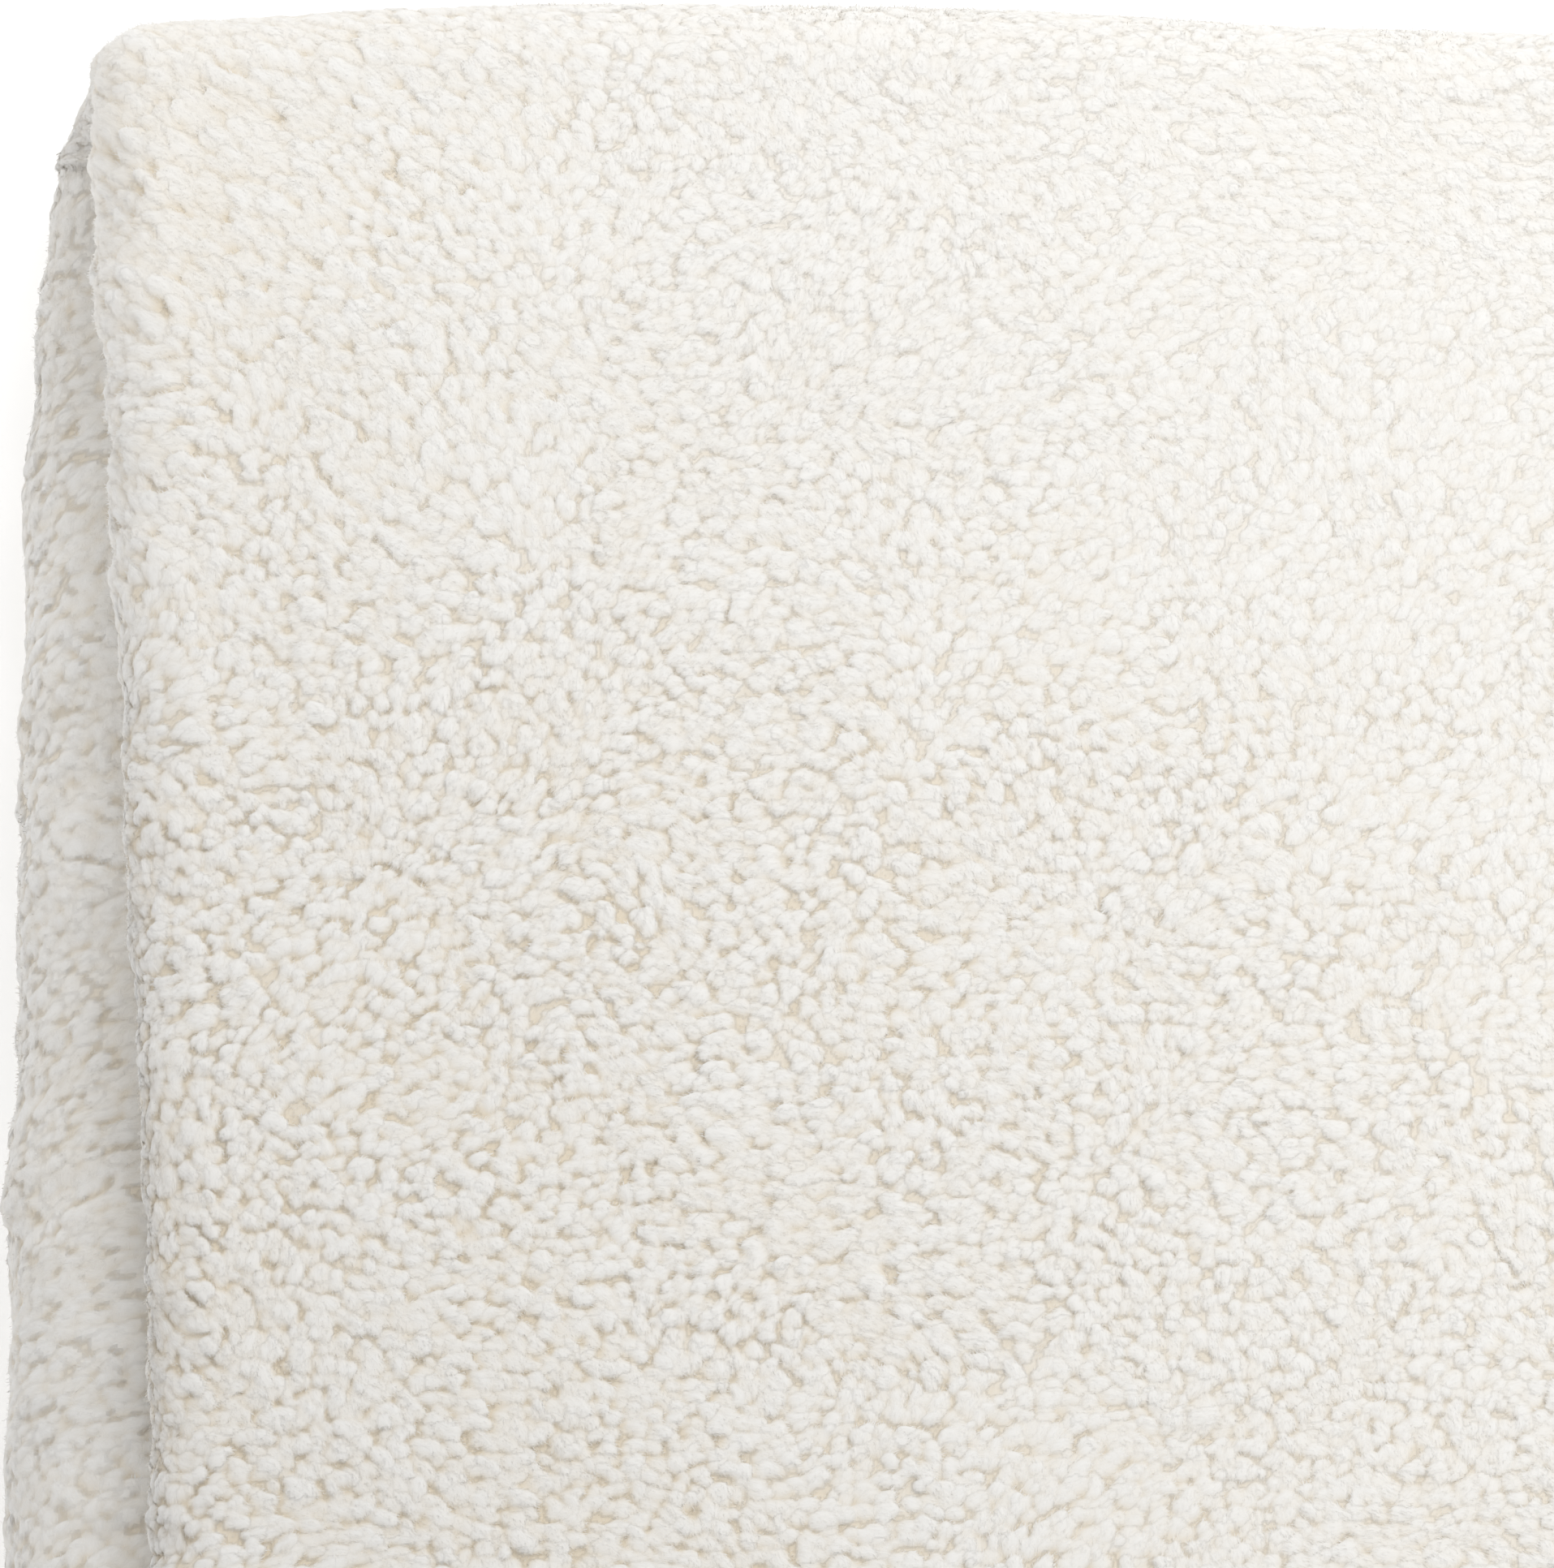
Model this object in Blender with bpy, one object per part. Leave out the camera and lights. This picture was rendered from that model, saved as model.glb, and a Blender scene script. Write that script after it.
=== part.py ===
"""Deep-pile cotton bath mat, folded once with its pile outside.

Two leaves lie one on the other and are joined by a soft fold. Each leaf is built
up from the middle of the stack outwards: stitching, hem tape, grip coating,
woven backing cloth and cut pile. Metres, +Z up, the fold at +Y.

The pieces are modelled in the fold's own frame: X runs along the fold line, Y
points out of the fold, and Z is measured from the plane between the two leaves.
"""
import math

import bmesh
import bpy
from mathutils import Vector

# The mat laid out flat.
MAT_WIDTH = 0.500
MAT_LENGTH = 0.800

# The fold line is a little out of square, so the leaves fan apart by twice this.
FOLD_SKEW = math.radians(1.15)

# Each layer's nearest and farthest distance from the plane between the leaves.
STITCH_SPAN = (0.0003, 0.0008)
HEM_SPAN = (0.0011, 0.0023)
LABEL_SPAN = (0.0016, 0.0023)
COATING_SPAN = (0.0026, 0.0036)
CLOTH_SPAN = (0.0039, 0.0051)
PILE_BASE = 0.0054

# The lower leaf's pile is pressed down by the leaf above it.
LOWER_PILE_HEIGHT = 0.0200
UPPER_PILE_HEIGHT = 0.0230

# The pile fans out round the fold, so it stands a little lower there.
FOLD_PILE_RADIUS = 0.0246
FOLD_STEPS = 16
JOIN_GAP = 0.0003

# The hem tape turns round the edge of the cloth.
HEM_WIDTH = 0.018
HEM_LIP = (-0.0015, -0.0003)
STITCH_INSET = (0.0147, 0.0153)
MITRE_GAP = 0.00022

LABEL_INSET = (0.0186, 0.0486)
LABEL_FROM_END = (0.060, 0.110)

# How far the pile leans out past the cloth: (share of its height, distance).
LOWER_FLARE = ((0.0, 0.0040), (0.12, 0.0090), (0.30, 0.0138), (0.55, 0.0166),
               (0.80, 0.0170), (0.94, 0.0155), (1.0, 0.0130))
UPPER_FLARE = ((0.0, 0.0020), (0.15, 0.0038), (0.38, 0.0050), (0.60, 0.0042),
               (0.78, 0.0018), (0.90, -0.0018), (0.97, -0.0055), (1.0, -0.0100))
FOLD_FLARE_SHARES = (0.0, 0.15, 0.38, 0.62, 0.82, 1.0)
PILE_CORNER_RADIUS = 0.004
PILE_CORNER_GROWTH = 0.018
CORNER_STEPS = 6

CLOTH_ARC_RADIUS = (CLOTH_SPAN[0] + CLOTH_SPAN[1]) / 2
LEAF_LENGTH = MAT_LENGTH / 2 - math.pi * CLOTH_ARC_RADIUS / 2
HALF_WIDTH = MAT_WIDTH / 2

# name: (colour, roughness)
MATERIALS = {
    "pile_cotton": ((0.86, 0.84, 0.80), 0.95),
    "backing_cloth": ((0.78, 0.74, 0.66), 0.90),
    "grip_latex": ((0.80, 0.78, 0.70), 0.70),
    "hem_tape": ((0.84, 0.82, 0.77), 0.85),
    "stitch_thread": ((0.88, 0.86, 0.82), 0.75),
    "label_cloth": ((0.88, 0.88, 0.86), 0.60),
}


def clear_scene():
    for obj in list(bpy.data.objects):
        bpy.data.objects.remove(obj)


def principled(name):
    """The named material with its colour and roughness."""
    existing = bpy.data.materials.get(name)
    if existing:
        return existing
    colour, roughness = MATERIALS[name]
    material = bpy.data.materials.new(name)
    material.use_nodes = True
    shader = material.node_tree.nodes["Principled BSDF"]
    shader.inputs["Base Color"].default_value = (*colour, 1.0)
    shader.inputs["Roughness"].default_value = roughness
    shader.inputs["Metallic"].default_value = 0.0
    material.diffuse_color = (*colour, 1.0)
    return material


def loft(rings):
    """A closed mesh through rings of equally many points, capped at both ends."""
    mesh = bmesh.new()
    made = [[mesh.verts.new(point) for point in ring] for ring in rings]
    count = len(made[0])
    for near, far in zip(made, made[1:]):
        for i in range(count):
            j = (i + 1) % count
            mesh.faces.new((near[i], near[j], far[j], far[i]))
    mesh.faces.new(made[0])
    mesh.faces.new(made[-1])
    bmesh.ops.recalc_face_normals(mesh, faces=mesh.faces)
    return mesh


def add_node(name, mesh, material, frame, origin=(0.0, 0.0, 0.0), smooth=False):
    """One named object on the frame's empty, with its origin at that empty."""
    bmesh.ops.translate(mesh, verts=mesh.verts, vec=-Vector(origin))
    data = bpy.data.meshes.new(name)
    mesh.to_mesh(data)
    mesh.free()
    for polygon in data.polygons:
        polygon.use_smooth = smooth and len(polygon.vertices) == 4
    data.materials.append(principled(material))
    node = bpy.data.objects.new(name, data)
    bpy.context.scene.collection.objects.link(node)
    node.parent = frame
    return node


def add_frame(name, location):
    frame = bpy.data.objects.new(name, None)
    frame.empty_display_size = 0.05
    frame.location = location
    frame.rotation_euler = (0.0, 0.0, FOLD_SKEW)
    bpy.context.scene.collection.objects.link(frame)
    return frame


class Leaf:
    """One half of the mat. side is -1 for the lower leaf and +1 for the upper."""

    def __init__(self, side, name, frame, origin):
        self.side = side
        self.name = name
        self.frame = frame
        self.origin = origin
        self.turn = side * FOLD_SKEW

    def turned(self, x, y, z):
        """A point given square to the leaf's edges, in the fold's frame."""
        cos, sin = math.cos(self.turn), math.sin(self.turn)
        return Vector((x * cos - y * sin, x * sin + y * cos, self.side * z))

    def fold_edge(self, x):
        """Where the leaf stops at the fold, square to the leaf's edges."""
        return (-JOIN_GAP / 2 - x * math.sin(self.turn)) / math.cos(self.turn)

    def outline(self, z, flare, radius):
        """The leaf's outline at height z, flare wider than its cloth."""
        half = HALF_WIDTH + flare
        end = -(LEAF_LENGTH + flare)
        points = [(-half, self.fold_edge(-half))]
        if radius:
            for turn_from, x in ((math.pi, -half + radius), (1.5 * math.pi, half - radius)):
                for step in range(CORNER_STEPS + 1):
                    angle = turn_from + 0.5 * math.pi * step / CORNER_STEPS
                    points.append((x + radius * math.cos(angle),
                                   end + radius + radius * math.sin(angle)))
        else:
            points += [(-half, end), (half, end)]
        points.append((half, self.fold_edge(half)))
        return [self.turned(x, y, z) for x, y in points]

    def add(self, piece, mesh, material, smooth=False):
        return add_node(f"{self.name}_{piece}", mesh, material, self.frame, self.origin, smooth)

    def add_sheet(self, piece, span, material):
        """A flat layer that covers the whole leaf."""
        self.add(piece, loft([self.outline(z, 0.0, 0.0) for z in span]), material)

    def add_pile(self, height, flare_profile):
        rings = []
        for share, flare in flare_profile:
            radius = PILE_CORNER_RADIUS + PILE_CORNER_GROWTH * share
            rings.append(self.outline(PILE_BASE + share * height, flare, radius))
        self.add("pile", loft(rings), "pile_cotton", smooth=True)

    def add_side_strip(self, piece, hand, profile, material):
        """A strip along one side edge, from the fold to the mitre. hand is -1 or +1."""
        rings = [[], []]
        for inset, z in profile:
            x = hand * (HALF_WIDTH - inset)
            rings[0].append(self.turned(x, self.fold_edge(x), z))
            rings[1].append(self.turned(x, -LEAF_LENGTH + inset + MITRE_GAP, z))
        self.add(piece, loft(rings), material)

    def add_end_strip(self, piece, profile, material):
        """A strip along the open end, between its two mitres."""
        rings = [[], []]
        for inset, z in profile:
            reach = HALF_WIDTH - inset - MITRE_GAP
            rings[0].append(self.turned(-reach, -LEAF_LENGTH + inset, z))
            rings[1].append(self.turned(reach, -LEAF_LENGTH + inset, z))
        self.add(piece, loft(rings), material)


def hem_profile():
    """The tape's section: a flange on the back of the mat and a lip over the edge."""
    outer, inner = HEM_LIP
    return ((outer, HEM_SPAN[0]), (HEM_WIDTH, HEM_SPAN[0]), (HEM_WIDTH, HEM_SPAN[1]),
            (inner, HEM_SPAN[1]), (inner, CLOTH_SPAN[1]), (outer, CLOTH_SPAN[1]))


def stitch_profile():
    (near, far), (low, high) = STITCH_INSET, STITCH_SPAN
    return ((near, low), (far, low), (far, high), (near, high))


def build_leaf(leaf, pile_height, flare_profile):
    leaf.add_pile(pile_height, flare_profile)
    leaf.add_sheet("backing_cloth", CLOTH_SPAN, "backing_cloth")
    leaf.add_sheet("grip_coating", COATING_SPAN, "grip_latex")
    for side_name, hand in (("left", -1), ("right", 1)):
        leaf.add_side_strip(f"hem_{side_name}", hand, hem_profile(), "hem_tape")
        leaf.add_side_strip(f"stitch_{side_name}", hand, stitch_profile(), "stitch_thread")
    leaf.add_end_strip("hem_end", hem_profile(), "hem_tape")
    leaf.add_end_strip("stitch_end", stitch_profile(), "stitch_thread")


def build_label(leaf):
    """A blank care label, sewn flat to the back of the upper leaf beside its hem."""
    near, far = LABEL_INSET
    start, stop = LABEL_FROM_END
    corners = ((near, start), (far, start), (far, stop), (near, stop))
    rings = [[leaf.turned(-HALF_WIDTH + inset, -LEAF_LENGTH + along, z)
              for inset, along in corners] for z in LABEL_SPAN]
    add_node("care_label", loft(rings), "label_cloth", leaf.frame, leaf.origin)


def interpolate(profile, share):
    """The flare at a share of the pile's height, from a profile's straight pieces."""
    for (low, at_low), (high, at_high) in zip(profile, profile[1:]):
        if share <= high:
            return at_low + (at_high - at_low) * (share - low) / (high - low)
    return profile[-1][1]


def fold_point(x, radius, angle):
    """A point on the fold. The angle runs from 0 at the lower leaf to pi at the upper."""
    return Vector((x, JOIN_GAP / 2 + radius * math.sin(angle), -radius * math.cos(angle)))


def fold_band(section):
    """A mesh turned half a circle round the fold. section gives (x, radius) at an angle."""
    angles = [math.pi * step / FOLD_STEPS for step in range(FOLD_STEPS + 1)]
    return loft([[fold_point(x, radius, angle) for x, radius in section(angle)]
                 for angle in angles])


def fold_pile_section(angle):
    """The pile's section on the fold, its ends flaring from the lower to the upper leaf."""
    blend = angle / math.pi
    blend = blend * blend * (3 - 2 * blend)
    half = HALF_WIDTH / math.cos(FOLD_SKEW)
    points = []
    for share in FOLD_FLARE_SHARES:
        radius = PILE_BASE + share * (FOLD_PILE_RADIUS - PILE_BASE)
        flare = ((1 - blend) * interpolate(LOWER_FLARE, share)
                 + blend * interpolate(UPPER_FLARE, share))
        points.append((half + flare, radius))
    return points + [(-x, radius) for x, radius in reversed(points)]


def rectangle_section(x_low, x_high, span):
    return lambda angle: ((x_low, span[0]), (x_high, span[0]), (x_high, span[1]), (x_low, span[1]))


def hem_fold_section(hand):
    half = HALF_WIDTH / math.cos(FOLD_SKEW)
    return lambda angle: [(hand * (half - inset), radius) for inset, radius in hem_profile()]


def build_fold(frame):
    """The part of each layer that wraps round the fold. It stays with the lower leaf."""
    half = HALF_WIDTH / math.cos(FOLD_SKEW)
    add_node("fold_pile", fold_band(fold_pile_section), "pile_cotton", frame, smooth=True)
    add_node("fold_backing_cloth", fold_band(rectangle_section(-half, half, CLOTH_SPAN)),
             "backing_cloth", frame, smooth=True)
    add_node("fold_grip_coating", fold_band(rectangle_section(-half, half, COATING_SPAN)),
             "grip_latex", frame, smooth=True)
    for side_name, hand in (("left", -1), ("right", 1)):
        add_node(f"fold_hem_{side_name}", fold_band(hem_fold_section(hand)),
                 "hem_tape", frame, smooth=True)
        near, far = (hand * (half - inset) for inset in STITCH_INSET)
        add_node(f"fold_stitch_{side_name}",
                 fold_band(rectangle_section(min(near, far), max(near, far), STITCH_SPAN)),
                 "stitch_thread", frame, smooth=True)


def centre_on_floor(frames):
    """Moves the frames so the mat stands on z = 0, centred in X and Y."""
    bpy.context.view_layer.update()
    corners = [node.matrix_world @ vertex.co
               for node in bpy.data.objects if node.type == "MESH"
               for vertex in node.data.vertices]
    low = Vector(min(corner[axis] for corner in corners) for axis in range(3))
    high = Vector(max(corner[axis] for corner in corners) for axis in range(3))
    move = Vector((-(low.x + high.x) / 2, -(low.y + high.y) / 2, -low.z))
    for frame in frames:
        frame.location += move
    bpy.context.view_layer.update()


def main():
    clear_scene()
    hinge_point = Vector((0.0, CLOTH_ARC_RADIUS, 0.0))
    turned_point = Vector((-hinge_point.y * math.sin(FOLD_SKEW),
                           hinge_point.y * math.cos(FOLD_SKEW), 0.0))
    lower_frame = add_frame("lower_leaf_frame", (0.0, 0.0, 0.0))
    hinge_frame = add_frame("fold_hinge_axis", turned_point)

    lower = Leaf(-1, "lower", lower_frame, (0.0, 0.0, 0.0))
    upper = Leaf(1, "upper", hinge_frame, hinge_point)
    build_leaf(lower, LOWER_PILE_HEIGHT, LOWER_FLARE)
    build_leaf(upper, UPPER_PILE_HEIGHT, UPPER_FLARE)
    build_label(upper)
    build_fold(lower_frame)
    centre_on_floor((lower_frame, hinge_frame))


main()
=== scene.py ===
import math

import bpy
import numpy as np
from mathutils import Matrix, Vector


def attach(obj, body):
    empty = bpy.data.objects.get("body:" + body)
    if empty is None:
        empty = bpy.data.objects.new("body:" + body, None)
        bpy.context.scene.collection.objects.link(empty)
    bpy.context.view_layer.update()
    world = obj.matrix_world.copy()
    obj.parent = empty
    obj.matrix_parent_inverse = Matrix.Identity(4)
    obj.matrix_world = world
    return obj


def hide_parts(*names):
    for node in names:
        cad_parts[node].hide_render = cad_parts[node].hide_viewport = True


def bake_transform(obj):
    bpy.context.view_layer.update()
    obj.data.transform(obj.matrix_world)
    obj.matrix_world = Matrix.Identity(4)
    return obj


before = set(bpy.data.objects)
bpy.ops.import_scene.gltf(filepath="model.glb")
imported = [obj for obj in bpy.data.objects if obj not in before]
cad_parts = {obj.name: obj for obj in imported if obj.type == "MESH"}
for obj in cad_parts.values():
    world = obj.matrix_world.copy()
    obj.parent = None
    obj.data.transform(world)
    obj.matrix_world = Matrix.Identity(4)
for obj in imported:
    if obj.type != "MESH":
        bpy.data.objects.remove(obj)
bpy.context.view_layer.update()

# The mat and its fold, as in the CAD. Metres.
HALF_WIDTH, LEAF_LENGTH = 0.250, 0.3929314
SKEW = math.radians(1.15)  # how far each leaf is turned in plan, away from the other
FOLD_ORIGIN = np.array((-0.001665, 0.190069, 0.0254))
HEM_Z, COATING_Z, CLOTH_Z = (0.0011, 0.0023), (0.0026, 0.0036), (0.0039, 0.0051)
ARC_RADIUS = 0.0045
ARC = math.pi * ARC_RADIUS / 2  # half the fold's run in the cloth
FOLD_RUN = 0.0737  # the fold's run over the outside of the pile
HEM_WIDTH, HEM_LIP, STITCH_INSET = 0.018, 0.0010, 0.015  # inside, outside and inside the edge
# The pile's outside, from the middle of the stack.
LOWER_TOP, UPPER_TOP, FOLD_TOP = 0.0254, 0.0280, 0.0246

# The soft shape of the lying mat.
BOW, BOW_MIDDLE, BOW_SPAN = 0.0055, -0.155, 0.088  # the fold bulges outward, most at its middle
SAG = 0.018  # the upper leaf droops by half of this at its left edge
ROLL_END = 0.0028  # the lowest height of the pile's rounding at the edge, if it went all the way
ROLL_OVER, ROLL_INWARD = 0.0068, 0.0165  # how far it goes on over the hem where nothing covers it
PILE_FLOOR = 0.0003  # the lowest that a fibre comes

# The tufts.
EVENNESS = 0.46  # how much of the shading comes from the even surface below the tufts
RELIEF = 0.60  # how much of the tufts' mapped height stands up
FINE_STEP, PLAIN_STEP = 0.00051, 0.00085  # between the skin's points
TUFT_PITCH = 0.0041
CORNER_SIZE = 0.062  # the patch of long combed tufts at the fold's left corner
MAP_STEP, MAP_U, MAP_V = 0.0004, 0.345, 0.530  # the tuft map's cell and its half sizes
TUFT_REACH = 10  # cells to each side of a strand's middle that it may cover
STRAND_BLEND = 0.00012  # the height over which neighbouring strands merge
GAP_HEIGHT, LOWEST_RISE = -0.0014, -0.0018  # the map where there is no strand, and the lowest kept
FIBRE_LENGTH, FIBRE_WIDTH = 0.0017, 0.00016


# ---------------------------------------------------------------- noise

def noise(x, y, size, seed):
    """Smooth noise from -1 to 1 with lumps about this size across."""
    table = np.random.default_rng(seed).uniform(-1, 1, (128, 128))
    turn = 0.6 + seed
    u = (x * math.cos(turn) - y * math.sin(turn)) / size + 500
    v = (x * math.sin(turn) + y * math.cos(turn)) / size + 500
    iu, iv = np.floor(u).astype(int), np.floor(v).astype(int)
    fu, fv = u - iu, v - iv
    fu, fv = fu * fu * (3 - 2 * fu), fv * fv * (3 - 2 * fv)
    a, b = table[iu % 128, iv % 128], table[(iu + 1) % 128, iv % 128]
    c, d = table[iu % 128, (iv + 1) % 128], table[(iu + 1) % 128, (iv + 1) % 128]
    return (a * (1 - fu) + b * fu) * (1 - fv) + (c * (1 - fu) + d * fu) * fv


def smoothstep(low, high, value):
    t = np.clip((value - low) / (high - low), 0, 1)
    return t * t * (3 - 2 * t)


def unit(v):
    return v / np.maximum(np.linalg.norm(v, axis=-1, keepdims=True), 1e-9)


# ---------------------------------------------------------------- where things are

def turned(x, y, z, side):
    """From a leaf's own plan to the fold's frame. side is -1 lower, +1 upper."""
    cos, sin = math.cos(side * SKEW), math.sin(side * SKEW)
    return np.stack((x * cos - y * sin, x * sin + y * cos, side * z + 0 * x), axis=-1)


def round_fold(x, radius, angle):
    """A point on the fold, from angle 0 at the lower leaf to pi at the upper."""
    return np.stack((x + 0 * angle, radius * np.sin(angle), -radius * np.cos(angle)), axis=-1)


def to_world(points, share):
    """From the fold's frame to the row frame, with a share of the pile's soft bow along the fold."""
    x, y, z = points[..., 0], points[..., 1], points[..., 2]
    bow = BOW * np.cos((x - BOW_MIDDLE) / BOW_SPAN) - 0.0006 * smoothstep(-0.13, 0.08, x)
    y = y + share * bow * smoothstep(-0.16, 0.0, y)
    cos, sin = math.cos(SKEW), math.sin(SKEW)
    world = np.stack((x * cos - y * sin, x * sin + y * cos, z), axis=-1)
    return world + FOLD_ORIGIN


# ---------------------------------------------------------------- meshes

def add_mesh(name, points, face_sizes, corners, material, smooth=True):
    mesh = bpy.data.meshes.new(name)
    mesh.vertices.add(len(points))
    mesh.vertices.foreach_set("co", points.astype(np.float32).ravel())
    mesh.loops.add(len(corners))
    mesh.loops.foreach_set("vertex_index", corners.astype(np.int32))
    mesh.polygons.add(len(face_sizes))
    starts = np.concatenate(([0], np.cumsum(face_sizes)[:-1]))
    mesh.polygons.foreach_set("loop_start", starts.astype(np.int32))
    mesh.polygons.foreach_set("loop_total", face_sizes.astype(np.int32))
    mesh.polygons.foreach_set("use_smooth", np.full(len(face_sizes), smooth))
    mesh.update(calc_edges=True)
    mesh.materials.append(material)
    obj = bpy.data.objects.new(name, mesh)
    bpy.context.scene.collection.objects.link(obj)
    return obj


def add_values(obj, name, values):
    """A number or a vector at each point, for the material to read."""
    kind, key = ("FLOAT", "value") if values.ndim == 1 else ("FLOAT_VECTOR", "vector")
    layer = obj.data.attributes.new(name, kind, "POINT")
    layer.data.foreach_set(key, values.astype(np.float32).ravel())


def add_unwrap(obj, uv):
    layer = obj.data.uv_layers.new(name="OFBake")
    layer.data.foreach_set("uv", uv.astype(np.float32).ravel())


def cloth_run(v):
    """From a run over the outside of the pile to the run along the cloth below it."""
    far = np.abs(v) - FOLD_RUN / 2
    return np.where(far < 0, v * 2 * ARC / FOLD_RUN, np.sign(v) * (ARC + far))


def edge_profile(v):
    """How the pile rounds over at the mat's edge: its top, how far in the rounding starts, how far
    it bulges out and the height where it is widest."""
    low = smoothstep(0.0, 0.055, -FOLD_RUN / 2 - v)
    high = smoothstep(0.0, 0.060, v - FOLD_RUN / 2)
    far_high = smoothstep(0.0, 0.35, v - FOLD_RUN / 2)
    under = smoothstep(0.0, FOLD_RUN * 0.8, FOLD_RUN * 0.3 - v)
    top = FOLD_TOP + (LOWER_TOP - FOLD_TOP) * low + (UPPER_TOP - FOLD_TOP) * high
    inset = 0.0060 + 0.0020 * low + 0.0050 * high
    flare = smoothstep(0.0, 0.085, -FOLD_RUN / 2 - v)
    out = 0.0062 + 0.0095 * under + 0.0054 * flare - 0.0034 * far_high
    fold_end = under * (1 - smoothstep(0.0, 0.11, -FOLD_RUN / 2 - v))
    widest = 0.0146 - 0.0021 * low + 0.0019 * high - 0.0072 * fold_end
    return top, inset, out, widest


def sag(u, v):
    """How far the upper leaf's pile droops towards the open left side, away from the fold."""
    open_side = 1 - smoothstep(-0.11, 0.11, u + HALF_WIDTH)
    return SAG * open_side * smoothstep(0.0, 0.22, v - FOLD_RUN / 2)


def near_corner(u, v):
    """1 at the fold's left corner, falling to almost nothing 0.1 m away."""
    left, fold = u + HALF_WIDTH, v - FOLD_RUN / 2
    return np.exp(-(np.hypot(left - 0.01, fold - 0.015) / CORNER_SIZE) ** 2)


def liveliness(u, v):
    """How strongly the tufts stand out, in relief and in the painted shade between them: least over the
    fold and to the right.
    """
    left, fold = u + HALF_WIDTH, v - FOLD_RUN / 2
    upper = 0.34 + 0.66 * smoothstep(0.0, 0.22, fold)
    lower = 0.38 * smoothstep(0.0, 0.05, -FOLD_RUN / 2 - v)
    corner = 0.66 * near_corner(u, v)
    return np.minimum((upper + lower) * (1 - 0.42 * smoothstep(0.0, 0.30, left)) + corner, 1)


def skin_point(u, v, lift, lean_u=0.0, lean_v=0.0):
    """A point on the pile's outside, at u across and v along it, lifted off its even surface."""
    top, inset, out, widest = edge_profile(v)
    in_u, in_v = HALF_WIDTH - inset, FOLD_RUN / 2 + LEAF_LENGTH - inset
    over_u, over_v = np.maximum(np.abs(u) - in_u, 0), np.maximum(np.abs(v) - in_v, 0)
    over = np.hypot(over_u, over_v)
    way_u = np.sign(u) * over_u / np.maximum(over, 1e-9)
    way_v = np.sign(v) * over_v / np.maximum(over, 1e-9)
    # Where the upper leaf has swung clear of the lower one, the lower pile rolls on over its hem.
    along_leaf = np.clip(-FOLD_RUN / 2 - v, 0, LEAF_LENGTH)
    clear = 2 * math.sin(SKEW) * (np.minimum(way_u, 0) ** 2 * along_leaf
                                  + way_v ** 2 * np.maximum(u, 0) * (v < 0))
    end = ROLL_END - ROLL_OVER * smoothstep(0.0005, 0.0060, clear)
    wide = inset + out
    inward = np.minimum(0.96 * clear, ROLL_INWARD)
    round_to = math.pi - np.arcsin(np.clip((inset - inward) / wide, -1, 1))
    mean_radius = (wide + (top - end) / 2) / 2
    turn = np.minimum(over / mean_radius, round_to)
    tall = np.where(turn < math.pi / 2, top - widest, widest - end)
    nx, nz = np.sin(turn) * tall, np.cos(turn) * wide
    size = np.hypot(nx, nz)
    nx, nz = nx / size, nz / size
    reach = wide * np.sin(turn) + lift * nx
    x = np.clip(u, -in_u, in_u) + way_u * reach + lean_u
    along = np.clip(v, -in_v, in_v) + way_v * reach + lean_v
    z = widest + tall * np.cos(turn) + lift * nz - sag(u, v) * np.clip(np.cos(turn), 0, 1)
    points, weight = mat_point(x, cloth_run(along), z, bowed=1)
    return points, weight, over <= mean_radius * round_to


def lean_field(u, v):
    """Which way the tufts lie over, and how far, as a slope."""
    patch, tuft_group = 0.060, 0.021  # the sizes over which the lean changes
    lean_u = 0.30 * noise(u, v, patch, 3) + 0.24 * noise(u, v, tuft_group, 4)
    lean_v = 0.30 * noise(u, v, patch, 6) + 0.24 * noise(u, v, tuft_group, 7)
    left, fold = u + HALF_WIDTH, v - FOLD_RUN / 2
    corner = 1.05 * near_corner(u, v) * (v > -FOLD_RUN / 2)
    combed = np.exp(-((fold - 0.018) / 0.040) ** 2) * smoothstep(0.06, 0.16, left)
    return lean_u - 0.62 * corner + 0.34 * combed, lean_v - 0.78 * corner


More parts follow.
